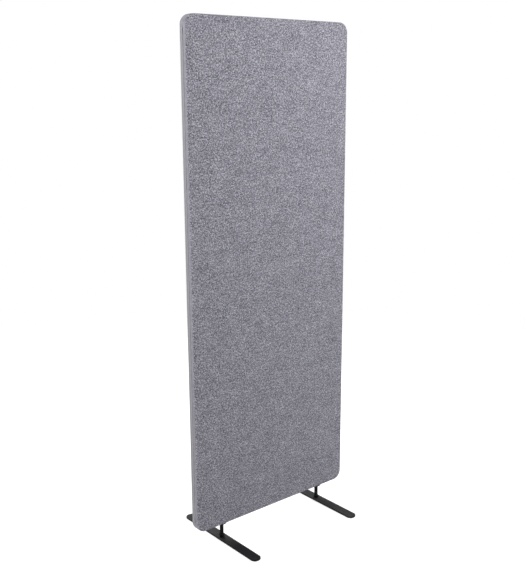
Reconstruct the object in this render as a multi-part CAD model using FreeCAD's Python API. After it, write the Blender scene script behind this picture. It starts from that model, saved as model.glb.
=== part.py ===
import FreeCAD, Part
import os

# A free-standing acoustic partition: one fabric-covered panel on two flat steel feet.
# Millimetres. +X runs across the panel, +Y to its back, +Z up. The origin is on the
# floor under the middle of the panel.

# Lengths under this count as nothing
tiny = 1e-6

# Panel outline
panel_width = 610.0
panel_height = 1524.0
corner_radius = 30.0
edge_rounding = 4.5

# Layers through the panel, from the face inwards
fabric = 1.0
board = 4.0
frame_depth = 23.0
half_frame = frame_depth / 2
half_panel = half_frame + board + fabric

# Feet
pad_height = 1.5
pad_radius = 12.0
pad_inset = 24.0
bar_thickness = 5.0
bar_width = 33.0
bar_length = 364.0
bar_end_radius = 15.0
bar_edge = 0.8
post_spacing = 408.0
post_radius = 6.0
post_gap = 48.0
post_grip = 26.0
post_chamfer = 1.0
collar_radius = 8.0
collar_height = 8.0
collar_chamfer = 0.8
foot_screw_radius = 3.0
foot_screw_head = 6.0
foot_screw_length = 20.0
hex_key = 4.0
hex_depth = 2.2

# Heights
bar_top = pad_height + bar_thickness
panel_low = bar_top + post_gap
panel_high = panel_low + panel_height

# Timber frame
timber = 30.0
block_leg = 60.0
dowel_radius = 4.0
dowel_length = 40.0
frame_low = panel_low + fabric
frame_high = panel_high - fabric
frame_side = panel_width / 2 - fabric
bay_low = frame_low + timber
bay_high = frame_high - timber
bay_side = frame_side - timber

# Flanged sockets that take the posts
flange_radius = 15.0
flange_height = 3.0
flange_chamfer = 0.6
barrel_radius = 8.0
barrel_length = 28.0
thread_clearance = 0.05
socket_screw_radius = 1.5
socket_screw_head = 2.8
socket_screw_length = 16.0
socket_screw_offset = 10.8
socket_screw_point = 3.0
socket_screw_tip = 0.3

# Zip: u is the height off the edge band, v is +Y, both at the coil
tape_thickness = 0.5
tape_lift = 1.4
tape_free_edge = -1.5
tape_bend = 5.2
tape_seam = 7.2
tape_back_edge = 11.2
coil_half_width = 2.0
coil_height = 1.8
coil_low_side = 0.9
zip_margin = 4.0
box_height = 8.0
box_sides = (-6.0, 3.0)
box_rounding = 0.7
pocket_sides = (-5.2, -2.6)
pocket_wall = 0.5
pocket_floor = 2.0
pin_length = 18.0
pin_half_width = 1.2
pin_rounding = 0.5
pin_below_coil = 0.2
stop_height = 3.0
stop_gap = 3.0
stop_overhang = 0.3
stop_above_coil = 0.2
stop_rounding = 0.6
tape_top = tape_lift + tape_thickness
coil_top = tape_top + coil_height
zip_low = panel_low + corner_radius + zip_margin
zip_high = panel_high - corner_radius - zip_margin
coil_end = zip_high - stop_gap - stop_height

# Zip slider and pull
run_clearance = 0.3
slider_length = 13.0
slider_rest_gap = 0.5
slider_middle = -1.5
slider_half_width = 4.9
slider_flare = 0.6
slider_flare_length = 1.5
slider_shoulder = 7.8
slider_corner = 1.2
slider_rounding = 0.35
plate = 0.9
guide_wall = 0.9
wedge_width = 1.2
wedge_length = 5.0
wedge_clearance = 0.4
bail_half_width = 1.2
bail_length = 6.0
bail_leg = 0.9
bail_window = 1.8
bail_bar = 0.8
pull_thickness = 1.1
pull_length = 27.0
pull_half_width = 2.8
pull_tip_half_width = 3.6
pull_tip_radius = 3.0
pull_neck = 6.6
pull_flare_length = 3.0
pull_window_half = 1.6
pull_window_length = 4.6
pull_hole_radius = 1.6
pull_hole_rise = 4.5
edge_x = panel_width / 2
slider_low = zip_low + box_height + slider_rest_gap
top_plate_low = coil_top + run_clearance
top_plate_high = top_plate_low + plate
back_plate_low = run_clearance
back_plate_high = tape_lift - run_clearance
pivot_u = top_plate_high + bail_window / 2
pivot_z = slider_low + slider_length / 2


def vec(x, y, z):
    return FreeCAD.Vector(x, y, z)


def block(x, y, z):
    """A box between the low and high values given for each axis."""
    size = (x[1] - x[0], y[1] - y[0], z[1] - z[0])
    return Part.makeBox(*size, vec(x[0], y[0], z[0]))


def rod(x, y, z, radius):
    """An upright cylinder from z[0] to z[1]."""
    return Part.makeCylinder(radius, z[1] - z[0], vec(x, y, z[0]))


def cross_rod(x, y, z, radius):
    """A cylinder along X from x[0] to x[1]."""
    return Part.makeCylinder(radius, x[1] - x[0], vec(x[0], y, z), vec(1, 0, 0))


def cone(x, y, z, radii):
    """An upright cone from z[0] to z[1], with the radius given at each end."""
    return Part.makeCone(radii[0], radii[1], z[1] - z[0], vec(x, y, z[0]))


def prism(points, direction):
    """A flat closed outline, pushed along a direction."""
    outline = Part.makePolygon(points + [points[0]])
    return Part.Face(outline).extrude(direction)


def edges_at(shape, axis, value):
    """The edges that lie wholly in one plane across an axis (0, 1 or 2)."""
    found = []
    for edge in shape.Edges:
        if all(abs(vertex.Point[axis] - value) < tiny for vertex in edge.Vertexes):
            found.append(edge)
    return found


def edges_along(edges, direction):
    """Those of the edges that run along a direction."""
    found = []
    for edge in edges:
        ends = [vertex.Point for vertex in edge.Vertexes]
        if len(ends) == 2 and (ends[1] - ends[0]).cross(direction).Length < tiny:
            found.append(edge)
    return found


def panel_slab(inset, y):
    """The panel's outline, drawn in by inset, between two depths."""
    side = panel_width / 2 - inset
    slab = block((-side, side), y, (panel_low + inset, panel_high - inset))
    return slab.makeFillet(corner_radius - inset, edges_along(slab.Edges, vec(0, 1, 0)))


def save(node, *solids):
    """Write one node's solids to its STEP file."""
    shape = solids[0] if len(solids) == 1 else Part.makeCompound(list(solids))
    shape.exportStep("parts/" + node + ".step")


def back_copy(shape):
    """The same piece on the panel's other face."""
    return shape.mirror(vec(0, 0, 0), vec(0, 1, 0))


def fabric_cover():
    """The front cover: a shallow tray of fabric over the facing board."""
    outer = panel_slab(0, (-half_panel, -half_frame))
    outer = outer.makeFillet(edge_rounding, edges_at(outer, 1, -half_panel))
    return outer.cut(facing_board())


def facing_board():
    """The front felt board, with its outer edge rounded under the cover."""
    face = -half_frame - board
    slab = panel_slab(fabric, (face, -half_frame))
    return slab.makeFillet(edge_rounding - fabric, edges_at(slab, 1, face))


def post_places():
    """Each post's name and its place along X."""
    return [("left", -post_spacing / 2), ("right", post_spacing / 2)]


def edge_band():
    """The fabric band round the panel's thickness, with holes for the sockets."""
    depth = (-half_frame, half_frame)
    band = panel_slab(0, depth).cut(panel_slab(fabric, depth))
    through = (panel_low, frame_low)
    for _, x in post_places():
        band = band.cut(rod(x, 0, through, barrel_radius))
        for offset in (-socket_screw_offset, socket_screw_offset):
            band = band.cut(rod(x + offset, 0, through, socket_screw_radius))
    return band


def corner_block(side, top):
    """A gusset block in one corner; side is -1 or 1, top is True or False."""
    depth = (-half_frame, half_frame)
    outline = panel_slab(fabric, depth)
    edge_z = frame_high if top else frame_low
    inward = -1 if top else 1
    x = [side * value for value in (frame_side, frame_side - block_leg, bay_side)]
    z = [edge_z + inward * value for value in (0, timber, block_leg)]
    points = [(x[0], z[0]), (x[1], z[0]), (x[1], z[1]), (x[2], z[2]), (x[0], z[2])]
    gusset = prism([vec(px, -half_frame, pz) for px, pz in points], vec(0, frame_depth, 0))
    return gusset.common(outline).Solids[0]


def corner_dowels():
    """Two dowels in each corner: one along the stile and one along the rail."""
    dowels = []
    half = dowel_length / 2
    for side in (-1, 1):
        upright_x = side * (frame_side - timber / 2)
        joint_x = side * (frame_side - block_leg)
        for edge_z, inward in ((frame_low, 1), (frame_high, -1)):
            joint_z = edge_z + inward * block_leg
            level_z = edge_z + inward * timber / 2
            dowels.append(rod(upright_x, 0, (joint_z - half, joint_z + half), dowel_radius))
            dowels.append(cross_rod((joint_x - half, joint_x + half), 0, level_z, dowel_radius))
    return dowels


def cross_rail_places():
    """The lower edge of each cross rail, which share the bay in three."""
    bay = (bay_high - bay_low - 2 * timber) / 3
    return [bay_low + bay, bay_low + 2 * bay + timber]


def cross_rail_dowels():
    """One dowel at each end of each cross rail."""
    dowels = []
    half = dowel_length / 2
    for low in cross_rail_places():
        for side in (-1, 1):
            ends = (side * bay_side - half, side * bay_side + half)
            dowels.append(cross_rod(ends, 0, low + timber / 2, dowel_radius))
    return dowels


def drilled(shape, pins):
    """A piece with a hole for each pin that reaches into it."""
    for pin in pins:
        if shape.BoundBox.intersect(pin.BoundBox):
            shape = shape.cut(pin)
    return shape.Solids[0]


def stile(side):
    """One upright of the frame."""
    x = sorted((side * frame_side, side * bay_side))
    z = (frame_low + block_leg, frame_high - block_leg)
    return block(x, (-half_frame, half_frame), z)


def rail(z):
    """One rail between the corner blocks."""
    reach = frame_side - block_leg
    return block((-reach, reach), (-half_frame, half_frame), z)


def bottom_rail(screws):
    """The bottom rail, bored for the sockets and their screws."""
    shape = rail((frame_low, bay_low))
    barrel_end = panel_low + barrel_length
    for _, x in post_places():
        shape = shape.cut(rod(x, 0, (frame_low, barrel_end), barrel_radius))
    return drilled(shape, screws)


def wool_batt(low, high):
    """A batt that fills one bay, with its corners cut where the gussets are."""
    batt = block((-bay_side, bay_side), (-half_frame, half_frame), (low, high))
    corners = [corner_block(side, top) for side in (-1, 1) for top in (False, True)]
    for corner in corners:
        batt = batt.cut(corner)
    return batt.Solids[0]


def socket_screws(x):
    """The two wood screws that hold one socket's flange."""
    screws = []
    low = panel_low - flange_height
    neck = low + socket_screw_head - socket_screw_radius
    tip = low + socket_screw_length
    for offset in (-socket_screw_offset, socket_screw_offset):
        head = cone(x + offset, 0, (low, neck), (socket_screw_head, socket_screw_radius))
        point_low = tip - socket_screw_point
        point_radii = (socket_screw_radius, socket_screw_tip)
        shank = rod(x + offset, 0, (neck, point_low), socket_screw_radius)
        point = cone(x + offset, 0, (point_low, tip), point_radii)
        screws.append(head.fuse([shank, point]).removeSplitter().Solids[0])
    return screws


def post_socket(x, screws):
    """The flanged threaded socket that a post screws into."""
    low = panel_low - flange_height
    flange = rod(x, 0, (low, panel_low), flange_radius)
    flange = flange.makeChamfer(flange_chamfer, edges_at(flange, 2, low))
    barrel = rod(x, 0, (panel_low, panel_low + barrel_length), barrel_radius)
    bore = rod(x, 0, (low, panel_low + barrel_length), post_radius + thread_clearance)
    return drilled(flange.fuse(barrel).cut(bore), screws)


def foot_bar(x, screw):
    """A flat steel bar with nearly half-round ends and a countersunk hole."""
    half = bar_width / 2
    reach = bar_length / 2
    bar = block((x - half, x + half), (-reach, reach), (pad_height, bar_top))
    bar = bar.makeFillet(bar_end_radius, edges_along(bar.Edges, vec(0, 0, 1)))
    bar = bar.makeFillet(bar_edge, edges_at(bar, 2, bar_top))
    return bar.cut(screw)


def foot_pads(x):
    """Two rubber pads, one near each end of the bar."""
    pads = []
    for end in (-1, 1):
        y = end * (bar_length / 2 - pad_inset)
        pads.append(rod(x, y, (0, pad_height), pad_radius))
    return pads


def foot_screw(x):
    """The countersunk socket screw that holds the bar to its post."""
    neck = pad_height + foot_screw_head - foot_screw_radius
    head = cone(x, 0, (pad_height, neck), (foot_screw_head, foot_screw_radius))
    shank = rod(x, 0, (neck, pad_height + foot_screw_length), foot_screw_radius)
    return head.fuse(shank).removeSplitter().Solids[0]


def hex_recess(x):
    """The hexagon recess in a foot screw's head."""
    key = []
    for step in range(6):
        spoke = vec(hex_key / 3 ** 0.5, 0, 0)
        turned = FreeCAD.Rotation(vec(0, 0, 1), 60 * step).multVec(spoke)
        key.append(vec(x, 0, pad_height) + turned)
    return prism(key, vec(0, 0, hex_depth))


def post(x, screw):
    """The round post: tapped below for the foot screw, threaded above."""
    top = panel_low + post_grip
    shaft = rod(x, 0, (bar_top, top), post_radius)
    shaft = shaft.makeChamfer(post_chamfer, edges_at(shaft, 2, top))
    return shaft.cut(screw).Solids[0]


def post_collar(x):
    """The plain collar round the foot of the post."""
    top = bar_top + collar_height
    ring = rod(x, 0, (bar_top, top), collar_radius)
    ring = ring.makeChamfer(collar_chamfer, edges_at(ring, 2, top))
    return ring.cut(rod(x, 0, (bar_top, top), post_radius))


def zip_strip(side, points, z):
    """An upright strip on one side edge, from points of (height off the band, y)."""
    outline = [vec(side * (edge_x + u), v, z[0]) for u, v in points]
    return prism(outline, vec(0, 0, z[1] - z[0]))


def zip_tape(side):
    """The tape: sewn down along its back edge and lifted clear at the coil."""
    under = [(0, tape_back_edge), (0, tape_seam), (tape_lift, tape_bend)]
    under.append((tape_lift, tape_free_edge))
    over = [(u + tape_thickness, v) for u, v in reversed(under)]
    return zip_strip(side, under + over, (zip_low, zip_high))


def zip_coil(side, low):
    """The coil, as one bar of its outer shape."""
    shoulder = tape_top + coil_low_side
    ends = [(tape_top, -1), (shoulder, -1), (shoulder, 1), (tape_top, 1)]
    base = [vec(side * (edge_x + u), v * coil_half_width, low) for u, v in ends]
    crown = vec(side * (edge_x + coil_top), 0, low)
    sides = [Part.makeLine(base[0], base[1]), Part.Arc(base[1], crown, base[2]).toShape()]
    sides += [Part.makeLine(base[2], base[3]), Part.makeLine(base[3], base[0])]
    return Part.Face(Part.Wire(sides)).extrude(vec(0, 0, coil_end - low))


def zip_block(side, u, v, z):
    """A small box on one side edge."""
    x = sorted((side * (edge_x + u[0]), side * (edge_x + u[1])))
    return block(x, v, z)


def top_stop(side):
    """The clip at the top of a coil."""
    half = coil_half_width + stop_overhang
    high = coil_top + stop_above_coil
    z = (coil_end, coil_end + stop_height)
    clip = zip_block(side, (tape_top, high), (-half, half), z)
    return clip.makeFillet(stop_rounding, edges_at(clip, 0, side * (edge_x + high)))


def retainer_box():
    """The box at the foot of the right zip, with a socket for a neighbour's pin."""
    u = (tape_top, top_plate_high - run_clearance)
    top = zip_low + box_height
    box = zip_block(1, u, box_sides, (zip_low, top))
    box = box.makeFillet(box_rounding, edges_at(box, 0, edge_x + u[1]))
    pocket_u = (u[0] + pocket_wall, u[1] - pocket_wall)
    return box.cut(zip_block(1, pocket_u, pocket_sides, (zip_low + pocket_floor, top)))


def insertion_pin():
    """The stiff pin at the foot of the left zip."""
    span = (-pin_half_width, pin_half_width)
    high = coil_top - pin_below_coil
    pin = zip_block(-1, (tape_top, high), span, (zip_low, zip_low + pin_length))
    return pin.makeFillet(pin_rounding, edges_at(pin, 0, -edge_x - high))


def slider_plate(u):
    """One plate of the slider: a tapered outline, wider at its top end."""
    foot = slider_half_width
    head = slider_half_width + slider_flare
    high = slider_low + slider_length
    shoulder = slider_low + slider_shoulder
    cut = slider_corner
    half = [(foot - cut, slider_low), (foot, slider_low + cut), (foot, shoulder)]
    half += [(head, shoulder + slider_flare_length), (head, high - cut), (head - cut, high)]
    outline = half + [(-v, z) for v, z in reversed(half)]
    points = [vec(edge_x + u[0], slider_middle + v, z) for v, z in outline]
    return prism(points, vec(u[1] - u[0], 0, 0))


def slider_body():
    """The slider: two plates, joined by a wedge, with a guide wall on each side."""
    z = (slider_low + slider_corner, slider_low + slider_shoulder)
    wall_u = (tape_top + run_clearance, top_plate_low)
    outer = slider_half_width
    inner = slider_half_width - guide_wall
    body = slider_plate((top_plate_low, top_plate_high))
    rim = edges_at(body, 0, edge_x + top_plate_high)
    body = body.makeFillet(slider_rounding, rim)
    pieces = [slider_plate((back_plate_low, back_plate_high))]
    for span in ((-outer, -inner), (inner, outer)):
        v = (slider_middle + span[0], slider_middle + span[1])
        pieces.append(zip_block(1, wall_u, v, z))
    wedge_side = -coil_half_width - wedge_clearance
    wedge_v = (wedge_side - wedge_width, wedge_side)
    high = slider_low + slider_length
    wedge_z = (high - wedge_length, high)
    pieces.append(zip_block(1, (back_plate_high, top_plate_low), wedge_v, wedge_z))
    return body.fuse(pieces).removeSplitter().Solids[0]


def slider_bail():
    """The bridge on the slider that holds the pull tab."""
    v = (slider_middle - bail_half_width, slider_middle + bail_half_width)
    z = (pivot_z - bail_length / 2, pivot_z + bail_length / 2)
    high = top_plate_high + bail_window + bail_bar
    bridge = zip_block(1, (top_plate_high, high), v, z)
    shoulders = edges_along(edges_at(bridge, 0, edge_x + high), vec(0, 1, 0))
    bridge = bridge.makeFillet(bail_bar, shoulders)
    window_u = (top_plate_high, top_plate_high + bail_window)
    return bridge.cut(zip_block(1, window_u, v, (z[0] + bail_leg, z[1] - bail_leg)))


def pull_tab():
    """The pull: a bar under the bail, two legs round it and a flat grip below."""
    half = pull_thickness / 2
    low = pivot_z - pull_length
    neck = pivot_z - pull_neck
    side = [(pull_half_width, pivot_z), (pull_half_width, neck)]
    side += [(pull_tip_half_width, neck - pull_flare_length), (pull_tip_half_width, low)]
    outline = side + [(-v, z) for v, z in reversed(side)]
    points = [vec(edge_x + pivot_u - half, slider_middle + v, z) for v, z in outline]
    grip = prism(points, vec(pull_thickness, 0, 0))
    grip = grip.makeFillet(pull_tip_radius, edges_along(edges_at(grip, 2, low), vec(1, 0, 0)))

    u = (pivot_u - half, pivot_u + half)
    window_v = (slider_middle - pull_window_half, slider_middle + pull_window_half)
    window = zip_block(1, u, window_v, (pivot_z - pull_window_length, pivot_z))
    hole_start = vec(edge_x + u[0], slider_middle, low + pull_hole_rise)
    hole = Part.makeCylinder(pull_hole_radius, pull_thickness, hole_start, vec(1, 0, 0))
    bar_start = vec(edge_x + pivot_u, slider_middle - pull_half_width, pivot_z)
    bar = Part.makeCylinder(half, 2 * pull_half_width, bar_start, vec(0, 1, 0))
    return grip.cut(window).cut(hole).fuse(bar).removeSplitter().Solids[0]


def save_panel():
    """The panel: covers, boards, frame, batts, dowels and sockets."""
    save("front_cover", fabric_cover())
    save("back_cover", back_copy(fabric_cover()))
    save("front_felt_board", facing_board())
    save("back_felt_board", back_copy(facing_board()))
    save("edge_band", edge_band())

    corner_pins = corner_dowels()
    cross_pins = cross_rail_dowels()
    save("corner_dowels", *corner_pins)
    save("cross_rail_dowels", *cross_pins)
    blocks = [corner_block(side, top) for side in (-1, 1) for top in (False, True)]
    save("corner_blocks", *[drilled(piece, corner_pins) for piece in blocks])
    save("left_stile", drilled(stile(-1), corner_pins + cross_pins))
    save("right_stile", drilled(stile(1), corner_pins + cross_pins))
    save("top_rail", drilled(rail((bay_high, frame_high)), corner_pins))

    lower, upper = cross_rail_places()
    for node, low in (("lower_cross_rail", lower), ("upper_cross_rail", upper)):
        span = block((-bay_side, bay_side), (-half_frame, half_frame), (low, low + timber))
        save(node, drilled(span, cross_pins))
    save("bottom_wool_batt", wool_batt(bay_low, lower))
    save("middle_wool_batt", wool_batt(lower + timber, upper))
    save("top_wool_batt", wool_batt(upper + timber, bay_high))

    all_screws = []
    for name, x in post_places():
        screws = socket_screws(x)
        save(name + "_post_socket", post_socket(x, screws))
        all_screws += screws
    save("socket_screws", *all_screws)
    save("bottom_rail", bottom_rail(all_screws + corner_pins))


def save_feet():
    """Each foot: bar, post, collar, screw and pads."""
    for name, x in post_places():
        screw = foot_screw(x)
        save(name + "_foot_bar", foot_bar(x, screw))
        save(name + "_post", post(x, screw))
        save(name + "_post_collar", post_collar(x))
        save(name + "_foot_screw", screw.cut(hex_recess(x)))
        save(name + "_foot_pads", *foot_pads(x))


def save_zips():
    """Both zip halves, and the slider and pull on the right one."""
    for name, side, low in (("left", -1, pin_length), ("right", 1, box_height)):
        save(name + "_zip_tape", zip_tape(side))
        save(name + "_zip_coil", zip_coil(side, zip_low + low))
    save("zip_top_stops", top_stop(-1), top_stop(1))
    save("zip_insertion_pin", insertion_pin())
    save("zip_retainer_box", retainer_box())
    save("zip_slider_body", slider_body())
    save("zip_slider_bail", slider_bail())
    save("zip_pull_tab", pull_tab())


os.makedirs("parts", exist_ok=True)
save_panel()
save_feet()
save_zips()
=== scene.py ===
import math

import bpy
import numpy as np
from mathutils import Matrix, Vector, noise


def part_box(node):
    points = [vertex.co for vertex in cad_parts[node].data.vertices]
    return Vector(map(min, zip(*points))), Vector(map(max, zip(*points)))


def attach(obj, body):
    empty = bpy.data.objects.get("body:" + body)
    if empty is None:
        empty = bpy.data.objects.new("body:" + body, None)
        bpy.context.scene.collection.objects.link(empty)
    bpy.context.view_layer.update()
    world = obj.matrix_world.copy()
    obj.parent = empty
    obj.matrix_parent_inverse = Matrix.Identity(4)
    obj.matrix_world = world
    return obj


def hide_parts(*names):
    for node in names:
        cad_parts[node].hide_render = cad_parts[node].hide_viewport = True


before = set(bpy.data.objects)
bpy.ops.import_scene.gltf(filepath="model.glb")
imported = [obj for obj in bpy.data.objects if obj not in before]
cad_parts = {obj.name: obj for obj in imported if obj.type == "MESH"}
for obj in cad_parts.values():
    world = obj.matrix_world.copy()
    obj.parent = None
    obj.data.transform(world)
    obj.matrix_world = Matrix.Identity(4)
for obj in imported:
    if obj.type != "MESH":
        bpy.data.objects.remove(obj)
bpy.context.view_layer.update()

# The looks of a free-standing acoustic partition, in metres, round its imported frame.
# "Inset" is how far a point lies inside the panel's outline. "Rise" is how far it
# stands out from the edge band. Directions: +X across the panel, +Y to its back, +Z up.

MM = 0.001
FLAT_PLACE = "flat_place"

# Cloth. Swells are per metre.
CORNER_RADIUS = 30 * MM
EDGE_ROUNDING = 4.5 * MM
CLOTH = 0.6 * MM
SEAM_DEPTH = 0.5 * MM
SEAM_HALF_GAP = 0.08 * MM
FACE_STEP = 12 * MM
CORNER_STEPS = 12
EDGE_STEPS = 8
FACE_INSET = 16 * MM
OUTER_INSETS = (12 * MM, 9 * MM, 7 * MM, 5.6 * MM)
FACE_RELIEF = 0.16 * MM
SLOW_SWELLS = 7
QUICK_SWELLS = 45
PUCKER_DEPTH = 0.14 * MM
PUCKER_FADE = 0.7
PUCKERS_PER_TURN = 34

# How a cover turns into its seam: (inset, height over the seam, share of pucker)
COVER_TURN = (
    (0.0, 0.34 * MM, 1.0),
    (0.1 * MM, 0.14 * MM, 1.0),
    (0.26 * MM, 0.04 * MM, 0.6),
    (SEAM_DEPTH, 0.0, 0.0),
)

# How the band comes out of its seam: (inset, distance from its edge, share of pucker)
BAND_TURN = (
    (SEAM_DEPTH, SEAM_HALF_GAP, 0.0),
    (0.22 * MM, 0.14 * MM, 0.5),
    (0.06 * MM, 0.32 * MM, 1.0),
    (0.0, 0.7 * MM, 1.0),
    (0.0, 2.2 * MM, 0.4),
    (0.0, 4.5 * MM, 0.0),
    (0.0, 7.5 * MM, 0.0),
)

# How far a weave's lines wander, in yarns
WEAVE_DRIFT = 1.8

# How the heather's tone wanders: (frequency per metre, weight)
HEATHER_MOTTLE = ((190, 0.42), (95, 0.22), (45, 0.135), (22, 0.08), (11, 0.045))

# Zips
TAPE_THICKNESS = 0.5 * MM
TAPE_STEP = 5 * MM
TAPE_COLUMNS = 22
TAPE_SEAM = 7.2 * MM
TAPE_BEND = 5.2 * MM
TAPE_RIPPLE = 0.07 * MM
SETTLE_LENGTH = 28 * MM
SETTLED_SHARE = 0.12
COIL_PITCH = 1.7 * MM
COIL_WIRE = 0.3 * MM
COIL_HEAD = 0.14 * MM
COIL_SAMPLES = 12
COIL_SIDES = 6
CORD_RADIUS = 0.32 * MM
CORD_FLATNESS = 2.6
CORD_WANDER = 0.12 * MM
CORD_WAVE = 11 * MM
CORD_RINGS = 120
STITCH_PITCH = 3.4 * MM
STITCH_LENGTH = 2.7 * MM
STITCH_RADIUS = 0.24 * MM
STITCH_SLANT = 0.12 * MM
STITCH_SIDES = 6
STITCH_ROWS = (8.4 * MM, 10.4 * MM)
RIPPLE_PITCH = 5 * STITCH_PITCH

# A stitch from end to end, in shares of its length, radius and lift
STITCH_SHAPE = (
    (-0.5, 0.35, -0.9),
    (-0.3, 1.0, 0.0),
    (0.0, 1.0, 0.35),
    (0.3, 1.0, 0.0),
    (0.5, 0.35, -0.9),
)

# Wool batts. Lumps are per metre.
FLEECE_INSET = 0.9 * MM
FLEECE_LUMP = 0.5 * MM
FLEECE_ROUNDING = 5 * MM
FLEECE_STEP = 9 * MM
FLEECE_END_STEPS = 6
BROAD_LUMPS = 26
FINE_LUMPS = 80
LUMP_SEED = 9
GUSSET_LEG = 30 * MM

# Floor: it fades out between the two distances
FLOOR_RADIUS = 3.0
FLOOR_SIDES = 96
FLOOR_GLOW = 0.65
FADE_START = 1.2
FADE_END = 2.8

# World
HORIZON_LIGHT = 0.36
OVERHEAD_LIGHT = 0.1

cover_low, cover_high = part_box("front_cover")
_, band_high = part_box("edge_band")
half_width = cover_high.x
half_height = (cover_high.z - cover_low.z) / 2
middle_z = (cover_high.z + cover_low.z) / 2
half_panel = -cover_low.y
half_band = band_high.y
reach_x = half_width - CORNER_RADIUS
reach_z = half_height - CORNER_RADIUS


def linear(*levels):
    """A colour from display levels of 0 to 255, as the linear values that shaders use."""
    parts = [level / 255 for level in levels]
    bent = [p / 12.92 if p <= 0.04045 else ((p + 0.055) / 1.055) ** 2.4 for p in parts]
    return (*bent, 1.0)


# ---------------------------------------------------------------- materials


class Finish:
    """One procedural material, built up node by node."""

    def __init__(self, name, laid_flat=False):
        """With laid_flat, patterns follow the cloth as it was before it was wrapped."""
        self.material = bpy.data.materials.new(name)
        self.material.use_nodes = True
        self.tree = self.material.node_tree
        self.shader = self.tree.nodes["Principled BSDF"]
        if laid_flat:
            flat = self.add("ShaderNodeAttribute", attribute_name=FLAT_PLACE)
            self.place = flat.outputs["Vector"]
        else:
            self.place = self.add("ShaderNodeTexCoord").outputs["Object"]

    def add(self, kind, **settings):
        """A new node with the given settings."""
        node = self.tree.nodes.new(kind)
        for name, value in settings.items():
            setattr(node, name, value)
        return node

    def feed(self, socket, value):
        """Link an output to a socket, or set the socket to a plain value."""
        if isinstance(value, bpy.types.NodeSocket):
            self.tree.links.new(value, socket)
        else:
            socket.default_value = value

    def plain(self, **values):
        """Set the shader's own sockets, each the same all over the surface."""
        for name, value in values.items():
            self.shader.inputs[name.replace("_", " ")].default_value = value

    def stretched(self, frequency):
        """The place, scaled by a frequency along each axis."""
        node = self.add("ShaderNodeVectorMath", operation="MULTIPLY")
        self.feed(node.inputs[0], self.place)
        node.inputs[1].default_value = frequency
        return node.outputs[0]

    def noise(self, frequency, detail=2.0, roughness=0.5, warp=0.0):
        """Noise from 0 to 1 with a frequency per metre, or one for each axis."""
        if not isinstance(frequency, tuple):
            frequency = (frequency,) * 3
        node = self.add("ShaderNodeTexNoise")
        self.feed(node.inputs["Vector"], self.stretched(frequency))
        node.inputs["Scale"].default_value = 1.0
        node.inputs["Detail"].default_value = detail
        node.inputs["Roughness"].default_value = roughness
        node.inputs["Distortion"].default_value = warp
        return node.outputs["Fac"]

    def math(self, operation, first, second=0.0, third=0.0):
        """The result of an operation on up to three values."""
        node = self.add("ShaderNodeMath", operation=operation)
        for socket, value in zip(node.inputs, (first, second, third)):
            self.feed(socket, value)
        return node.outputs[0]

    def weigh(self, *pairs):
        """The sum of values, each times its weight."""
        total = 0.0
        for value, weight in pairs:
            total = self.math("MULTIPLY_ADD", value, weight, total)
        return total

    def spread(self, value, low, high):
        """A value spread so that low becomes 0 and high becomes 1."""
        node = self.add("ShaderNodeMapRange")
        self.feed(node.inputs["Value"], value)
        node.inputs["From Min"].default_value = low
        node.inputs["From Max"].default_value = high
        return node.outputs[0]

    def ramp(self, value, *stops):
        """A colour for a value, from (position, colour) stops."""
        node = self.add("ShaderNodeValToRGB")
        self.feed(node.inputs[0], value)
        elements = node.color_ramp.elements
        while len(elements) < len(stops):
            elements.new(0.5)
        for element, (position, colour) in zip(elements, stops):
            element.position = position
            element.color = colour
        return node.outputs[0]

    def blend(self, share, first, second, kind="MIX"):
        """Two colours mixed by a share from 0 to 1."""
        node = self.add("ShaderNodeMix", data_type="RGBA", blend_type=kind)
        colours = [s for s in node.inputs if s.type == "RGBA"]
        self.feed(node.inputs[0], share)
        self.feed(colours[0], first)
        self.feed(colours[1], second)
        return [s for s in node.outputs if s.type == "RGBA"][0]

    def axes(self):
        """The place's three coordinates."""
        node = self.add("ShaderNodeSeparateXYZ")
        self.feed(node.inputs[0], self.place)
        return node.outputs[:3]

    def waves(self, along, pitch, wander=0.0):
        """A sine of the given pitch along a coordinate, with an optional wander."""
        turns = self.math("MULTIPLY_ADD", along, 2 * math.pi / pitch, wander)
        return self.math("SINE", turns)

    def half_turn(self, place):
        """A sine that crosses 0 at every whole number."""
        return self.math("SINE", self.math("MULTIPLY", place, math.pi))

    def plain_weave(self, pitch, patch, wobble=0.5):
        """A plain weave of mottled, slightly uneven yarns, laid flat.

        Returns the tone of whichever yarn is on top, its fibres and the height, each from
        0 to 1. The pitch is from yarn to yarn. A patch is how long a yarn keeps its tone.
        """
        across, up, _ = self.axes()
        bow = self.noise((18, 24, 1), detail=1)
        skew = self.noise((26, 17, 5), detail=1)
        bend = self.noise(0.4 / pitch, detail=1)
        lean = self.noise((0.25 / pitch, 0.45 / pitch, 3.0), detail=1)
        warp = self.weigh((across, 1 / pitch), (bow, WEAVE_DRIFT), (bend, wobble))
        weft = self.weigh((up, 1 / pitch), (skew, WEAVE_DRIFT), (lean, wobble))
        warp_wave, weft_wave = self.half_turn(warp), self.half_turn(weft)
        on_top = self.spread(self.math("MULTIPLY", warp_wave, weft_wave), -0.3, 0.3)
        narrow, thin, long = 0.8 / pitch, 4 / pitch, 0.6 / pitch
        warp_tone = self.noise((narrow, 1 / patch, 1.0), detail=1)
        weft_tone = self.noise((1 / patch, narrow, 7.0), detail=1)
        warp_fibres = self.noise((thin, long, 1.0), detail=3, roughness=0.7, warp=0.8)
        weft_fibres = self.noise((long, thin, 7.0), detail=3, roughness=0.7, warp=0.8)
        tone = self.pick(on_top, warp_tone, weft_tone)
        fibres = self.pick(on_top, warp_fibres, weft_fibres)
        width = self.pick(on_top, warp_wave, weft_wave)
        length = self.pick(on_top, weft_wave, warp_wave)
        crown = self.math("MULTIPLY", self.math("ABSOLUTE", width), 0.7)
        height = self.math("MULTIPLY_ADD", self.math("ABSOLUTE", length), 0.3, crown)
        return tone, fibres, height

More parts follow.
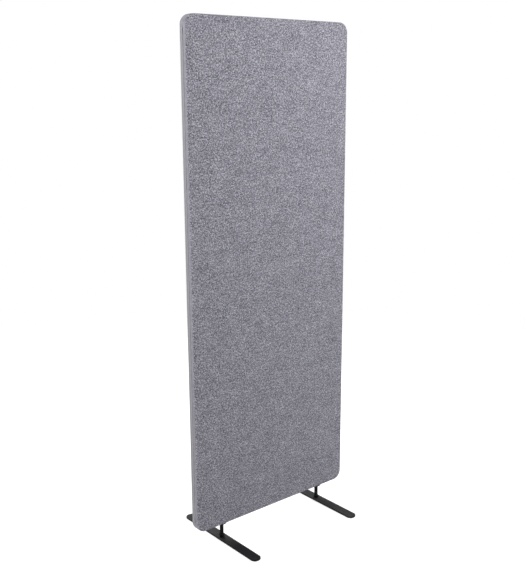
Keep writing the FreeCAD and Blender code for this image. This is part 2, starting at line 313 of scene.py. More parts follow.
    def pick(self, share, first, second):
        """A value between two, by a share from 0 to 1."""
        node = self.add("ShaderNodeMix", data_type="FLOAT")
        self.feed(node.inputs[0], share)
        self.feed(node.inputs[2], first)
        self.feed(node.inputs[3], second)
        return node.outputs[0]

    def relief(self, height, depth, strength=1.0):
        """A bump of the given depth, over any bump made before it."""
        node = self.add("ShaderNodeBump")
        node.inputs["Strength"].default_value = strength
        node.inputs["Distance"].default_value = depth
        self.feed(node.inputs["Height"], height)
        normal = self.shader.inputs["Normal"]
        if normal.is_linked:
            self.feed(node.inputs["Normal"], normal.links[0].from_socket)
        self.feed(normal, node.outputs[0])

    def colour(self, value):
        """Set the surface's colour."""
        self.feed(self.shader.inputs["Base Color"], value)

    def roughness(self, value):
        """Set the surface's roughness."""
        self.feed(self.shader.inputs["Roughness"], value)


def heather_fabric():
    """Heather weave: mottled yarns from dark to light grey, with loose surface fibres and
    painted shade between the yarns.
    """
    f = Finish("heather_fabric", laid_flat=True)
    yarn, fibres, height = f.plain_weave(2.2 * MM, 4.5 * MM)
    speck = f.noise(380, detail=2, roughness=0.7)
    hairs = f.noise((1500, 1100, 1), detail=3, roughness=0.75, warp=2.5)
    mottle = [(f.noise(frequency, detail=1), weight) for frequency, weight in HEATHER_MOTTLE]
    # The weave's height in the tone is painted shade: the gaps between the yarns are coloured
    # darker, on top of the bump that the same height makes.
    tone = f.weigh(
        (yarn, 1.05), (speck, 0.8), (fibres, 0.6), (hairs, 0.3), (height, 0.25), *mottle,
    )
    tone = f.spread(tone, 1.705, 2.3)
    grey = f.ramp(
        tone,
        (0.0, linear(56, 55, 66)),
        (0.5, linear(129, 128, 139)),
        (1.0, linear(210, 209, 219)),
    )
    tint = f.ramp(
        f.noise(260, detail=2),
        (0.35, (1.0, 0.97, 0.93, 1.0)),
        (0.65, (0.95, 0.97, 1.0, 1.0)),
    )
    f.colour(f.blend(1.0, grey, tint, kind="MULTIPLY"))
    f.relief(height, 0.6 * MM, 0.7)
    f.relief(fibres, 0.3 * MM, 0.6)
    f.relief(hairs, 0.15 * MM, 0.5)
    f.roughness(f.spread(fibres, -1.0, 1.4))
    f.plain(Sheen_Weight=0.08, Sheen_Roughness=0.6, Specular_IOR_Level=0.1)
    return f.material


def band_fabric():
    """The edge band: a finer and paler weave, with faint painted shade between the yarns."""
    f = Finish("band_fabric", laid_flat=True)
    yarn, fibres, height = f.plain_weave(1.1 * MM, 3 * MM)
    mottle = f.noise(90, detail=2)
    # The weave's height in the tone is painted shade: the gaps between the yarns are a little
    # darker, on top of the bump that the same height makes.
    tone = f.weigh((mottle, 0.25), (yarn, 0.5), (fibres, 0.25), (height, 0.08))
    tone = f.spread(tone, 0.42, 0.74)
    f.colour(f.ramp(
        tone,
        (0.0, linear(114, 112, 120)),
        (0.5, linear(142, 140, 148)),
        (1.0, linear(170, 169, 176)),
    ))
    f.relief(height, 0.25 * MM, 0.5)
    f.relief(fibres, 0.12 * MM, 0.5)
    f.roughness(f.spread(fibres, -1.0, 1.4))
    f.plain(Sheen_Weight=0.1, Sheen_Roughness=0.5, Specular_IOR_Level=0.15)
    return f.material


def tape_weave():
    """Zip tape: a fine herringbone in a slightly darker grey."""
    f = Finish("tape_weave")
    _, y, z = f.axes()
    side = f.math("PINGPONG", y, 1.1 * MM)
    slant = f.math("ADD", z, side)
    ribs = f.waves(slant, 0.55 * MM)
    yarn = f.noise((700, 700, 500), detail=2, roughness=0.6)
    tone = f.weigh((f.spread(ribs, -1, 1), 0.3), (yarn, 0.7))
    f.colour(f.ramp(
        tone,
        (0.2, linear(116, 116, 119)),
        (0.5, linear(136, 136, 139)),
        (0.8, linear(154, 154, 157)),
    ))
    f.relief(ribs, 0.05 * MM, 0.8)
    f.roughness(f.spread(yarn, -1.2, 1.6))
    f.plain(Sheen_Weight=0.1, Sheen_Roughness=0.4, Specular_IOR_Level=0.25)
    return f.material


def coil_nylon():
    """Matching grey nylon, slightly milky, with drawn-wire streaks."""
    f = Finish("coil_nylon")
    shade = f.noise(420, detail=2)
    streaks = f.noise((2500, 2500, 600), detail=2)
    f.colour(f.ramp(
        shade,
        (0.3, linear(163, 163, 167)),
        (0.7, linear(184, 184, 188)),
    ))
    f.relief(streaks, 0.02 * MM, 0.5)
    f.roughness(f.spread(streaks, -0.6, 1.9))
    f.plain(Subsurface_Weight=0.1, Subsurface_Scale=0.4 * MM)
    return f.material


def sewing_thread():
    """Polyester thread with a twist."""
    f = Finish("sewing_thread")
    x, y, z = f.axes()
    twist = f.waves(f.math("ADD", z, f.math("ADD", x, y)), 0.35 * MM)
    shade = f.noise(260, detail=1)
    tone = f.weigh((f.spread(twist, -1, 1), 0.35), (shade, 0.65))
    f.colour(f.ramp(
        tone,
        (0.25, linear(126, 126, 130)),
        (0.75, linear(162, 162, 166)),
    ))
    f.relief(twist, 0.03 * MM, 0.8)
    f.roughness(f.spread(shade, -1.0, 1.8))
    f.plain(Sheen_Weight=0.1)
    return f.material


def powder_coat():
    """Satin black powder coat: fine orange peel, a little dust and handling."""
    f = Finish("powder_coat")
    peel = f.noise(900, detail=2, roughness=0.5)
    wear = f.noise(26, detail=4, roughness=0.6)
    grit = f.noise(2600, detail=1)
    tone = f.weigh((wear, 0.6), (grit, 0.4))
    f.colour(f.ramp(
        tone,
        (0.35, linear(14, 14, 16)),
        (0.6, linear(22, 22, 24)),
        (0.8, linear(34, 34, 36)),
    ))
    f.relief(peel, 0.06 * MM, 0.5)
    f.roughness(f.spread(wear, -0.9, 1.35))
    f.plain(Specular_IOR_Level=0.22)
    return f.material


def dark_socket_metal():
    """The flanged sockets: blackened steel with turning marks."""
    f = Finish("dark_socket_metal")
    _, _, z = f.axes()
    marks = f.waves(z, 0.4 * MM, f.noise(60))
    stain = f.noise(160, detail=3, roughness=0.6)
    f.colour(f.ramp(
        stain,
        (0.3, linear(34, 34, 36)),
        (0.7, linear(62, 62, 65)),
    ))
    f.relief(marks, 0.01 * MM, 0.6)
    f.roughness(f.spread(stain, -0.5, 1.6))
    f.plain(Metallic=0.7)
    return f.material


def zinc_plate():
    """Zinc plated screws, with a faint grey bloom."""
    f = Finish("zinc_plate")
    bloom = f.noise(700, detail=3, roughness=0.6)
    f.colour(f.ramp(
        bloom,
        (0.3, linear(128, 129, 132)),
        (0.7, linear(176, 177, 180)),
    ))
    f.relief(bloom, 0.02 * MM, 0.4)
    f.roughness(f.spread(bloom, -0.4, 1.8))
    f.plain(Metallic=1.0)
    return f.material


def pad_rubber():
    """Matt black rubber with a scuffed underside."""
    f = Finish("pad_rubber")
    scuff = f.noise(300, detail=4, roughness=0.7)
    f.colour(f.ramp(
        scuff,
        (0.35, linear(22, 22, 22)),
        (0.7, linear(46, 46, 45)),
    ))
    f.relief(scuff, 0.08 * MM, 0.5)
    f.roughness(f.spread(scuff, -1.4, 1.2))
    return f.material


def zip_enamel():
    """Dark grey enamel on die-cast metal, rubbed where it slides."""
    f = Finish("zip_enamel")
    rub = f.noise(380, detail=3, roughness=0.6)
    fine = f.noise(2200, detail=1)
    f.colour(f.ramp(
        rub,
        (0.35, linear(70, 70, 74)),
        (0.6, linear(86, 86, 91)),
        (0.75, linear(118, 118, 122)),
    ))
    f.relief(fine, 0.01 * MM, 0.5)
    f.roughness(f.spread(rub, -0.3, 1.9))
    f.plain(Metallic=0.75)
    return f.material


def bare_metal():
    """The clamped top stops: dull nickel with fine scratches."""
    f = Finish("bare_metal")
    scratches = f.noise((3000, 3000, 300), detail=2)
    f.colour(f.ramp(
        scratches,
        (0.3, linear(176, 176, 180)),
        (0.7, linear(204, 204, 208)),
    ))
    f.relief(scratches, 0.01 * MM, 0.5)
    f.roughness(f.spread(scratches, -0.6, 1.6))
    f.plain(Metallic=0.6)
    return f.material


def timber(name, along):
    """Planed softwood with its grain along one axis: 0 is X and 2 is Z."""
    f = Finish(name)
    ring_frequency = [55.0] * 3
    pore_frequency = [900.0] * 3
    ring_frequency[along] = 2.5
    pore_frequency[along] = 30.0
    rings = f.noise(tuple(ring_frequency), detail=3, roughness=0.55, warp=0.6)
    pores = f.noise(tuple(pore_frequency), detail=2)
    bands = f.math("FRACT", f.math("MULTIPLY", rings, 6.0))
    tone = f.weigh((bands, 0.6), (pores, 0.4))
    f.colour(f.ramp(
        tone,
        (0.1, linear(222, 190, 144)),
        (0.6, linear(206, 168, 118)),
        (0.9, linear(170, 126, 80)),
    ))
    f.relief(pores, 0.06 * MM, 0.5)
    f.roughness(f.spread(pores, -0.8, 1.6))
    return f.material


def pressed_felt():
    """Pressed felt board: pale fibres with darker flecks."""
    f = Finish("pressed_felt")
    fibre = f.noise(500, detail=4, roughness=0.75, warp=1.2)
    fleck = f.noise(170, detail=1)
    tone = f.weigh((fibre, 0.7), (fleck, 0.3))
    f.colour(f.ramp(
        tone,
        (0.3, linear(142, 141, 138)),
        (0.5, linear(188, 186, 181)),
        (0.7, linear(212, 210, 205)),
    ))
    f.relief(fibre, 0.3 * MM, 0.6)
    f.roughness(f.spread(fibre, -1.6, 1.4))
    f.plain(Sheen_Weight=0.1)
    return f.material


def acoustic_fleece():
    """Polyester wool: off-white, open and lofty."""
    f = Finish("acoustic_fleece")
    loft = f.noise(45, detail=3, roughness=0.6)
    strands = f.noise((900, 900, 240), detail=3, roughness=0.7, warp=1.5)
    tone = f.weigh((loft, 0.4), (strands, 0.6))
    f.colour(f.ramp(
        tone,
        (0.3, linear(186, 186, 184)),
        (0.7, linear(232, 232, 230)),
    ))
    f.relief(strands, 0.9 * MM, 0.7)
    f.roughness(f.spread(strands, -2.0, 1.2))
    f.plain(Sheen_Weight=0.3)
    return f.material


# ------------------------------------------------------------------- meshes


def make_piece(name, points, faces, material, body):
    """A smooth mesh piece that rides on a body and takes its finish from a slot."""
    mesh = bpy.data.meshes.new(name)
    mesh.from_pydata([tuple(p) for p in points], [], [tuple(face) for face in faces])
    mesh.materials.append(material)
    mesh.shade_smooth()
    mesh.update()
    piece = bpy.data.objects.new(name, mesh)
    bpy.context.scene.collection.objects.link(piece)
    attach(piece, body)
    return piece


def lay_flat(piece, places):
    """Store where each point of a cloth was when the cloth lay flat."""
    spots = piece.data.attributes.new(FLAT_PLACE, "FLOAT_VECTOR", "POINT")
    spots.data.foreach_set("vector", np.array(places, dtype=np.float32).ravel())


def add_thickness(piece, thickness):
    """Give a sheet its thickness, inwards from its outer face."""
    solid = piece.modifiers.new("thickness", "SOLIDIFY")
    solid.thickness = thickness
    solid.offset = -1.0


def turned(face, flip):
    """A face, with its front and back swapped if flip is true."""
    return tuple(reversed(face)) if flip else face


def strip_faces(rows, columns, closed=False, flip=False):
    """Quads between points laid out row by row."""
    faces = []
    last = columns if closed else columns - 1
    for row in range(rows - 1):
        for column in range(last):
            after = (column + 1) % columns
            a, b = row * columns + column, row * columns + after
            quad = (a, b, b + columns, a + columns)
            faces.append(turned(quad, flip))
    return faces


def stations(reach):
    """Places along one axis: how far the straight part goes, and the corner's turn."""
    count = round(2 * reach / FACE_STEP)
    low = [(-reach, step / CORNER_STEPS - 1) for step in range(CORNER_STEPS)]
    straight = [(reach * (2 * step / count - 1), 0.0) for step in range(count + 1)]
    high = [(reach, (step + 1) / CORNER_STEPS) for step in range(CORNER_STEPS)]
    return np.array(low + straight + high)


def panel_grid():
    """For each grid point its base (x, z), and its spoke: a step outwards from the base.

    The outermost points' spokes have length 1, so that base + radius * spoke is the
    panel's outline with that corner radius.
    """
    across, up = stations(reach_x), stations(reach_z)
    base = np.stack(np.meshgrid(across[:, 0], up[:, 0], indexing="ij"), -1)
    a, b = np.meshgrid(across[:, 1], up[:, 1], indexing="ij")
    spoke = np.stack([a * np.sqrt(1 - b * b / 2), b * np.sqrt(1 - a * a / 2)], -1)
    return base, spoke


def rim_places(columns, rows):
    """The grid's outermost points, once round from the lower left corner."""
    bottom = [(i, 0) for i in range(columns)]
    right = [(columns - 1, j) for j in range(1, rows)]
    top = [(i, rows - 1) for i in range(columns - 2, -1, -1)]
    left = [(0, j) for j in range(rows - 2, 0, -1)]
    return bottom + right + top + left


def at_inset(base, spoke, inset):
    """Points (x, z) at an inset from the outline."""
    flat = base + (CORNER_RADIUS - inset) * spoke
    return flat[..., 0], flat[..., 1] + middle_z


def pucker(spoke, depth):
    """Small gathers round the corners, none along the straights."""
    angle = np.arctan2(spoke[..., 1], spoke[..., 0])
    fade = np.abs(np.sin(2 * angle)) ** PUCKER_FADE
    return depth * fade * (0.5 - 0.5 * np.cos(PUCKERS_PER_TURN * angle))


def cover_profile():
    """(Inset, depth from the panel's middle, share of pucker) from the face to the seam."""
    rows = [(inset, half_panel, 0.0) for inset in OUTER_INSETS]
    for step in range(EDGE_STEPS + 1):
        angle = math.radians(90 - 90 * step / EDGE_STEPS)
        inset = EDGE_ROUNDING * (1 - math.cos(angle))
        depth = half_panel - EDGE_ROUNDING * (1 - math.sin(angle))
        rows.append((inset, depth, 1 - math.sin(angle)))
    seam = half_band + SEAM_HALF_GAP
    return rows + [(inset, seam + over, share) for inset, over, share in COVER_TURN]


def face_relief(x, z, seed):
    """The cloth's slight unevenness over its board, in slow and quick swells."""
    slow = noise.noise(Vector((x * SLOW_SWELLS, seed, z * SLOW_SWELLS)))
    quick = noise.noise(Vector((x * QUICK_SWELLS, seed, z * QUICK_SWELLS)))
    return FACE_RELIEF * (0.75 * slow + 0.25 * quick)


def rim_of(base, spoke):
    """The base and the spoke of each outermost point, once round."""
    rim = rim_places(*base.shape[:2])
    return np.array([base[place] for place in rim]), np.array([spoke[place] for place in rim])


def cover_face(base, spoke, side):
    """A cover's flat part: its points, where each lay flat, and its faces."""
    x, z = at_inset(base, spoke, FACE_INSET)
    columns, rows = x.shape
    points, flat, faces = [], [], []
    for i in range(columns):
        for j in range(rows):
            rise = face_relief(x[i, j], z[i, j], side)
            points.append((x[i, j], side * (half_panel + rise), z[i, j]))
            flat.append((x[i, j], z[i, j], side))
    for i in range(columns - 1):
        for j in range(rows - 1):
            a = i * rows + j
            faces.append((a, a + rows, a + rows + 1, a + 1))
    return points, flat, faces


def cover_cloth(name, side, material):
    """A cover: its face as a grid, then its rounded edge down to the seam with the band."""
    base, spoke = panel_grid()
    points, flat, faces = cover_face(base, spoke, side)
    columns, rows = base.shape[:2]
    ring = [i * rows + j for i, j in rim_places(columns, rows)]
    rim_base, rim_spoke = rim_of(base, spoke)
    reached = FACE_INSET
    before = (FACE_INSET, half_panel)
    for inset, depth, share in cover_profile():
        start = len(points)
        reached -= math.dist(before, (inset, depth))
        before = (inset, depth)
        gather = pucker(rim_spoke, PUCKER_DEPTH * share)
        ring_x, ring_z = at_inset(rim_base, rim_spoke, (inset + gather)[:, None])
        fade = max(0.0, (inset - EDGE_ROUNDING) / (FACE_INSET - EDGE_ROUNDING))
        for px, pz in zip(ring_x, ring_z):
            points.append((px, side * (depth + fade * face_relief(px, pz, side)), pz))
        for px, pz in zip(*at_inset(rim_base, rim_spoke, reached)):
            flat.append((px, pz, side))
        outer = list(range(start, len(points)))
        for k in range(len(ring)):
            after = (k + 1) % len(ring)
            faces.append((ring[k], outer[k], outer[after], ring[after]))
        ring = outer
    faces = [turned(face, side > 0) for face in faces]
    piece = make_piece(name, points, faces, material, "panel")
    lay_flat(piece, flat)
    add_thickness(piece, CLOTH)
    return piece


def band_profile():
    """(Inset, y, share of pucker) across the edge band, from its front to its back."""
    half = [(inset, half_band - back, share) for inset, back, share in BAND_TURN]
    front = [(inset, -y, share) for inset, y, share in half]
    return front + [(0.0, 0.0, 0.0)] + list(reversed(half))


def band_cloth(material):
    """The edge band: a strip once round the panel, dipping into both seams."""
    base, spoke = panel_grid()
    join = len(base) // 2
    rim_base, rim_spoke = [
        np.concatenate([part[join:], part[:join + 1]]) for part in rim_of(base, spoke)
    ]
    outline = np.stack(at_inset(rim_base, rim_spoke, 0.0), 1)
    steps = np.linalg.norm(np.diff(outline, axis=0), axis=1)
    along = np.concatenate([[0.0], np.cumsum(steps)])
    points, flat = [], []
    profile = band_profile()
    for inset, y, share in profile:
        gather = pucker(rim_spoke, PUCKER_DEPTH * share)
        x, z = at_inset(rim_base, rim_spoke, (inset + gather)[:, None])
        points += [(px, y, pz) for px, pz in zip(x, z)]
        flat += [(y, place, 0.0) for place in along]
    faces = strip_faces(len(profile), len(rim_base))
    piece = make_piece("edge_band_cloth", points, faces, material, "panel")
    lay_flat(piece, flat)
    add_thickness(piece, CLOTH)
    return piece


def tape_lift(y, full):
    """How high the tape's underside stands off the band at a depth y."""
    share = min(1.0, max(0.0, (TAPE_SEAM - y) / (TAPE_SEAM - TAPE_BEND)))
    return full * share * share * (3 - 2 * share)


def settled(side, z, low, high):
    """The share of its lift that a zip half keeps: on the left it sinks away from its ends."""
    if side > 0:
        return np.ones_like(z)
    away = np.clip(np.minimum(z - low, high - z) / SETTLE_LENGTH, 0.0, 1.0)
    return 1 - (1 - SETTLED_SHARE) * away * away * (3 - 2 * away)


def tape_cloth(name, side, material):
    """One zip tape: sewn down along its back edge and lifted at the coil."""
    low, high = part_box(name)
    full = high.x - low.x - TAPE_THICKNESS
    across = np.linspace(high.y, low.y, TAPE_COLUMNS)
    up = np.linspace(low.z, high.z, round((high.z - low.z) / TAPE_STEP) + 1)
    points = []
    for z, share in zip(up, settled(side, up, low.z, high.z)):
        for y in across:
            sewn = min(1.0, max(0.0, (y - TAPE_BEND) / (high.y - TAPE_BEND)))
            ripple = TAPE_RIPPLE * sewn * (1 + math.sin(2 * math.pi * z / RIPPLE_PITCH))
            rise = tape_lift(y, full * share) + TAPE_THICKNESS + ripple * (sewn < 1)
            points.append((side * (half_width + rise), y, z))
    faces = strip_faces(len(up), len(across), flip=side < 0)
    piece = make_piece(name + "_cloth", points, faces, material, "panel")
    add_thickness(piece, TAPE_THICKNESS)
    return piece


def tube_rings(centres, first, second):
    """Points of a tube: rings of the two radius vectors about each centre."""
    angles = np.arange(COIL_SIDES) * 2 * math.pi / COIL_SIDES
    cosine = np.cos(angles)[None, :, None]
    sine = np.sin(angles)[None, :, None]
    return (centres[:, None] + cosine * first[:, None] + sine * second[:, None]).reshape(-1, 3)


def tube_caps(count, offset):
    """The two end faces of a tube of count rings."""
    start = tuple(range(offset + COIL_SIDES - 1, offset - 1, -1))
    last = offset + (count - 1) * COIL_SIDES
    return [start, tuple(range(last, last + COIL_SIDES))]


def coil_wire(start, end, side, middle_at, rise_radius, width_radius):
    """The wire's points, ring by ring, wider where the turns interlock."""
    turns = (end - start) / COIL_PITCH
    angle = np.linspace(0, 2 * math.pi * turns, round(turns * COIL_SAMPLES) + 1)
    z = start + (end - start) * angle / angle[-1]
    outward = np.stack([side * np.sin(angle), np.cos(angle), 0 * angle], 1)
    centres = np.stack([
        middle_at(z) + rise_radius * outward[:, 0],
        width_radius * outward[:, 1],
        z,
    ], 1)
    head = np.maximum(0.0, -np.cos(angle)) ** 3
    along = np.zeros_like(centres)
    along[:, 2] = COIL_WIRE + COIL_HEAD * head
    return tube_rings(centres, COIL_WIRE * outward, along)


def coil_cord(start, end, side, middle_at):
    """Points of the flat cord inside a coil, ring by ring."""
    z = np.linspace(start, end, CORD_RINGS)
    centres = np.stack([middle_at(z), CORD_WANDER * np.sin(z / CORD_WAVE), z], 1)
    rise = np.tile([CORD_RADIUS * side, 0.0, 0.0], (CORD_RINGS, 1))
    width = np.tile([0.0, CORD_RADIUS * CORD_FLATNESS, 0.0], (CORD_RINGS, 1))
    return tube_rings(centres, rise, width)


def zip_coil(name, side, material):
    """One coil of nylon wire round its cord."""
    low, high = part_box(name + "_coil")
    tape_low, tape_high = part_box(name + "_tape")
    full = tape_high.x - tape_low.x - TAPE_THICKNESS
    start, end = low.z + COIL_WIRE, high.z - COIL_WIRE

    def middle_at(z):
        """The coil's middle along X at a height."""
        sunk = side * full * (1 - settled(side, z, tape_low.z, tape_high.z))
        return (low.x + high.x) / 2 - sunk

    rise_radius = (high.x - low.x) / 2 - COIL_WIRE
    width_radius = (high.y - low.y) / 2 - COIL_WIRE
    wire = coil_wire(start, end, side, middle_at, rise_radius, width_radius)
    cord = coil_cord(start, end, side, middle_at)
    rings = len(wire) // COIL_SIDES
    faces = strip_faces(rings, COIL_SIDES, closed=True, flip=side > 0)
    faces += tube_caps(rings, 0)
    for face in strip_faces(CORD_RINGS, COIL_SIDES, closed=True, flip=side < 0):
        faces.append(tuple(corner + len(wire) for corner in face))
    faces += tube_caps(CORD_RINGS, len(wire))
    points = np.concatenate([wire, cord])
    return make_piece(name + "_coil_helix", points, faces, material, "panel")


def stitch_points(side, y, z):
    """One short thread's points about its middle, ring by ring."""
    points = []
    for along, width, lift in STITCH_SHAPE:
        rise = TAPE_THICKNESS + STITCH_RADIUS * (0.3 + 0.5 * lift)
        reach = STITCH_RADIUS * width
        for angle in np.arange(STITCH_SIDES) * 2 * math.pi / STITCH_SIDES:
            points.append((
                side * (half_width + rise + reach * math.cos(angle)),
                y + reach * math.sin(angle) + STITCH_SLANT * along,
                z + along * STITCH_LENGTH,
            ))
    return points


def stitch_faces(side):
    """One thread's faces: its round and its two ends."""
    rings = len(STITCH_SHAPE)
    first = tuple(range(STITCH_SIDES))
    last = tuple(range(STITCH_SIDES * (rings - 1), STITCH_SIDES * rings))
    ends = [turned(first, side > 0), turned(last, side < 0)]
    return strip_faces(rings, STITCH_SIDES, closed=True, flip=side < 0) + ends


def tape_stitches(name, side, material):
    """Rows of lockstitch along the sewn edge of one tape."""
    low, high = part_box(name + "_zip_tape")
    points, faces = [], []
    thread_faces = stitch_faces(side)
    count = int((high.z - low.z - 2 * STITCH_PITCH) / STITCH_PITCH)
    for y in STITCH_ROWS:
        for k in range(count):
            offset = len(points)
            points += stitch_points(side, y, low.z + STITCH_PITCH * (k + 1.5))
            for face in thread_faces:
                faces.append(tuple(corner + offset for corner in face))
    return make_piece(name + "_tape_stitches", points, faces, material, "panel")


def rounded_stations(low, high):
    """(Place, share of depth) along a batt, which thins to nothing at both ends."""
    turn = np.radians(np.linspace(0, 75, FLEECE_END_STEPS))
    end = FLEECE_ROUNDING * (1 - np.sin(turn[::-1] + np.radians(15)))
    share = np.cos(turn[::-1])
    count = round((high - low) / FLEECE_STEP)
    middle = np.linspace(low + FLEECE_ROUNDING, high - FLEECE_ROUNDING, count)[1:-1]
    places = np.concatenate([low + end, middle, high - end[::-1]])
    shares = np.concatenate([share, np.ones_like(middle), share[::-1]])
    return list(zip(places, shares))


def gusset_cut(z, low, high, cut_low, cut_high):
    """How far gusset blocks at the cut ends narrow a batt at a height."""
    narrow = 0.0
    if cut_low:
        narrow = max(narrow, GUSSET_LEG + FLEECE_INSET - (z - low))
    if cut_high:
        narrow = max(narrow, GUSSET_LEG + FLEECE_INSET - (high - z))
    return narrow


def fleece_lump(x, side, z):
    """The wool's unevenness, from about -1.5 to 1.5."""
    seed = side * LUMP_SEED
    broad = noise.noise(Vector((x * BROAD_LUMPS, seed, z * BROAD_LUMPS)))
    fine = noise.noise(Vector((x * FINE_LUMPS, seed, z * FINE_LUMPS)))
    return broad + 0.5 * fine


def batt_faces(height, width):
    """Faces of a closed pad whose rows hold a front strip and then a back strip."""
    faces = []
    for row in range(height - 1):
        for strip, flip in ((0, False), (width, True)):
            for column in range(width - 1):
                a = row * 2 * width + strip + column
                faces.append(turned((a, a + 1, a + 1 + 2 * width, a + 2 * width), flip))
        for column, flip in ((0, False), (width - 1, True)):
            a = row * 2 * width + column
            faces.append(turned((a + width, a, a + 2 * width, a + 3 * width), flip))
    for row, flip in ((0, True), (height - 1, False)):
        for column in range(width - 1):
            a = row * 2 * width + column
            faces.append(turned((a, a + 1, a + 1 + width, a + width), flip))
    return faces


def fleece_batt(name, cut_low, cut_high, material):
    """A wool batt: a closed, slightly lumpy pad, narrowed where it meets gusset blocks."""
    low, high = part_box(name)
    half_x = high.x - FLEECE_INSET
    half_y = high.y - FLEECE_INSET - FLEECE_LUMP
    rows = rounded_stations(low.z + FLEECE_INSET, high.z - FLEECE_INSET)
    columns = rounded_stations(-half_x, half_x)
    points = []
    for z, row_share in rows:
        scale = (half_x - gusset_cut(z, low.z, high.z, cut_low, cut_high)) / half_x
        for side in (-1, 1):
            for x, column_share in columns:
                share = row_share * column_share
                bulge = half_y + FLEECE_LUMP * fleece_lump(x, side, z)
                points.append((x * scale, side * share * bulge, z))
    faces = batt_faces(len(rows), len(columns))
    piece = make_piece(name + "_fleece", points, faces, material, "panel")
    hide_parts(name)


# -------------------------------------------------------------------- pieces


def dress(material, *nodes):
    """Give CAD nodes a material."""
    for node in nodes:
        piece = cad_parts[node]
        if not piece.material_slots:
            piece.data.materials.append(material)
        for slot in piece.material_slots:
            slot.material = material


def make_covers():
    """Both covers and the band between them."""
    heather = heather_fabric()
    for name, side in (("front", -1), ("back", 1)):
        piece = cover_cloth(name + "_cover_cloth", side, heather)
        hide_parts(name + "_cover")
    band = band_cloth(band_fabric())
    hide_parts("edge_band")


def make_zips(nylon):
    """Tape, coil and stitches on each side edge."""
    weave, thread = tape_weave(), sewing_thread()
    for name, side in (("left", -1), ("right", 1)):
        tape = tape_cloth(name + "_zip_tape", side, weave)
        coil = zip_coil(name + "_zip", side, nylon)
        stitches = tape_stitches(name, side, thread)
        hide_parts(name + "_zip_tape")
        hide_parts(name + "_zip_coil")


def dress_cad_nodes(nylon):
    """A finish for each CAD node that stays."""
    coat = powder_coat()
    for name in ("left", "right"):
        dress(coat, name + "_foot_bar", name + "_post", name + "_post_collar")
    dress(dark_socket_metal(), "left_post_socket", "right_post_socket")
    dress(zinc_plate(), "socket_screws", "left_foot_screw", "right_foot_screw")
    dress(pad_rubber(), "left_foot_pads", "right_foot_pads")
    dress(nylon, "zip_insertion_pin", "zip_retainer_box")
    dress(bare_metal(), "zip_top_stops")
    dress(zip_enamel(), "zip_slider_body", "zip_slider_bail", "zip_pull_tab")
    dress(timber("timber_upright", 2), "left_stile", "right_stile", "corner_blocks")
    dress(
        timber("timber_across", 0),
        "top_rail", "bottom_rail", "lower_cross_rail", "upper_cross_rail",
        "corner_dowels", "cross_rail_dowels",
    )
    dress(pressed_felt(), "front_felt_board", "back_felt_board")


def make_batts():
    """The three wool batts in the frame's bays."""
    fleece = acoustic_fleece()
    fleece_batt("bottom_wool_batt", True, False, fleece)
    fleece_batt("middle_wool_batt", False, False, fleece)
    fleece_batt("top_wool_batt", False, True, fleece)


# -------------------------------------------------------------------- studio


def make_floor():
    """A plain pale floor that melts into the white background."""
    points = [(0.0, 0.0, 0.0)]
    for k in range(FLOOR_SIDES):
        angle = 2 * math.pi * k / FLOOR_SIDES
        points.append((FLOOR_RADIUS * math.cos(angle), FLOOR_RADIUS * math.sin(angle), 0.0))
    faces = [(0, k + 1, (k + 1) % FLOOR_SIDES + 1) for k in range(FLOOR_SIDES)]
    mesh = bpy.data.meshes.new("floor")
    mesh.from_pydata(points, [], faces)
    floor = bpy.data.objects.new("floor", mesh)
    bpy.context.scene.collection.objects.link(floor)
    f = Finish("floor_paint")
    f.colour(f.ramp(f.noise(3), (0.3, (0.5, 0.5, 0.5, 1)), (0.7, (0.52, 0.52, 0.52, 1))))
    f.plain(Roughness=0.9, Specular_IOR_Level=0.0)
    x, y, _ = f.axes()
    away = f.math("SQRT", f.math("ADD", f.math("MULTIPLY", x, x), f.math("MULTIPLY", y, y)))
    glow = f.add("ShaderNodeEmission")
    camera_ray = f.add("ShaderNodeLightPath").outputs["Is Camera Ray"]
    f.feed(glow.inputs["Strength"], f.math("MULTIPLY", camera_ray, FLOOR_GLOW))
    lit = f.add("ShaderNodeAddShader")
    f.feed(lit.inputs[0], f.shader.outputs[0])
    f.feed(lit.inputs[1], glow.outputs[0])
    clear = f.add("ShaderNodeBsdfTransparent")
    fade = f.add("ShaderNodeMixShader")
    f.feed(fade.inputs[0], f.spread(away, FADE_START, FADE_END))
    f.feed(fade.inputs[1], lit.outputs[0])
    f.feed(fade.inputs[2], clear.outputs[0])
    f.feed(f.tree.nodes["Material Output"].inputs["Surface"], fade.outputs[0])
    mesh.materials.append(f.material)


def area_light(name, place, target, size, power):
    """A soft square light aimed at a point."""
    light = bpy.data.lights.new(name, "AREA")
    light.shape = "RECTANGLE"
    light.size, light.size_y = size
    light.energy = power
    lamp = bpy.data.objects.new(name, light)
    lamp.location = place
    aim = Vector(target) - Vector(place)
    lamp.rotation_euler = aim.to_track_quat("-Z", "Y").to_euler()
    bpy.context.scene.collection.objects.link(lamp)


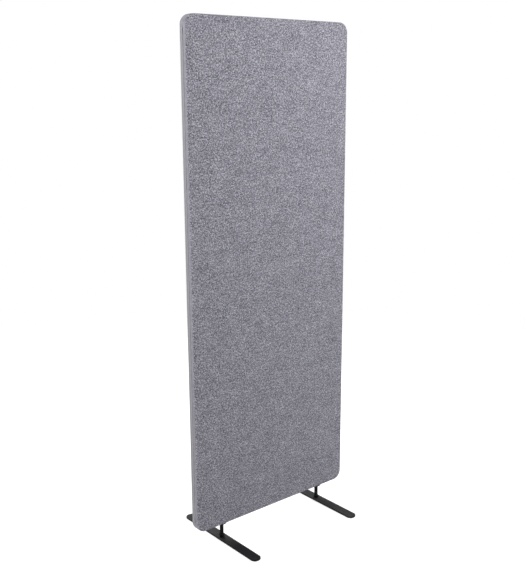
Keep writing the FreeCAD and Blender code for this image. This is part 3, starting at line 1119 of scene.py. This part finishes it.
def make_lights():
    """Soft lights before the panel's right half, at both its edges and behind it.

    The right_rear light is the one that the right foot's top reflects.
    """
    area_light("front", (1.05, -1.8, 2.2), (0.0, 0.0, 1.1), (1.2, 1.2), 59.5)
    area_light("left", (-3.0, 0.3, 2.3), (0.0, 0.0, 0.9), (1.0, 1.4), 101)
    area_light("back", (0.6, 2.4, 2.0), (0.0, 0.0, 0.9), (1.4, 1.4), 52)
    area_light("right", (2.3, 0.25, 1.8), (0.0, 0.0, 0.9), (1.0, 1.4), 28)
    area_light("right_rear", (2.1, 1.2, 1.3), (0.0, 0.0, 0.7), (1.0, 1.4), 14)


def make_world():
    """White behind the object. Its light is even round the horizon and dimmer overhead."""
    world = bpy.data.worlds.new("studio")
    world.use_nodes = True
    nodes, links = world.node_tree.nodes, world.node_tree.links
    place = nodes.new("ShaderNodeTexCoord")
    height = nodes.new("ShaderNodeSeparateXYZ")
    dim = nodes.new("ShaderNodeMapRange")
    dim.inputs["To Min"].default_value = HORIZON_LIGHT
    dim.inputs["To Max"].default_value = OVERHEAD_LIGHT
    light = nodes["Background"]
    light.inputs["Color"].default_value = (1, 1, 1, 1)
    white = nodes.new("ShaderNodeBackground")
    white.inputs["Color"].default_value = (1, 1, 1, 1)
    white.inputs["Strength"].default_value = 1.0
    path = nodes.new("ShaderNodeLightPath")
    mix = nodes.new("ShaderNodeMixShader")
    links.new(place.outputs["Generated"], height.inputs[0])
    links.new(height.outputs["Z"], dim.inputs["Value"])
    links.new(dim.outputs[0], light.inputs["Strength"])
    links.new(path.outputs["Is Camera Ray"], mix.inputs[0])
    links.new(light.outputs[0], mix.inputs[1])
    links.new(white.outputs[0], mix.inputs[2])
    links.new(mix.outputs[0], nodes["World Output"].inputs["Surface"])
    bpy.context.scene.world = world


def make_camera():
    """The camera, in front of the panel's left half and a little above its middle."""
    data = bpy.data.cameras.new("camera")
    data.lens = 53.106
    data.sensor_width = 36.0
    data.clip_end = 100.0
    camera = bpy.data.objects.new("camera", data)
    turn = Matrix.Rotation(math.radians(-39.745), 4, "Z")
    tilt = Matrix.Rotation(math.radians(76.859), 4, "X")
    roll = Matrix.Rotation(math.radians(-0.305), 4, "Z")
    camera.rotation_euler = (turn @ tilt @ roll).to_euler()
    camera.location = (-1.6603, -1.9591, 1.3784)
    bpy.context.scene.collection.objects.link(camera)
    bpy.context.scene.camera = camera


make_camera()
make_covers()
zip_nylon = coil_nylon()
make_zips(zip_nylon)
make_batts()
dress_cad_nodes(zip_nylon)
make_floor()
make_lights()
make_world()
bpy.context.scene.view_settings.view_transform = "Standard"
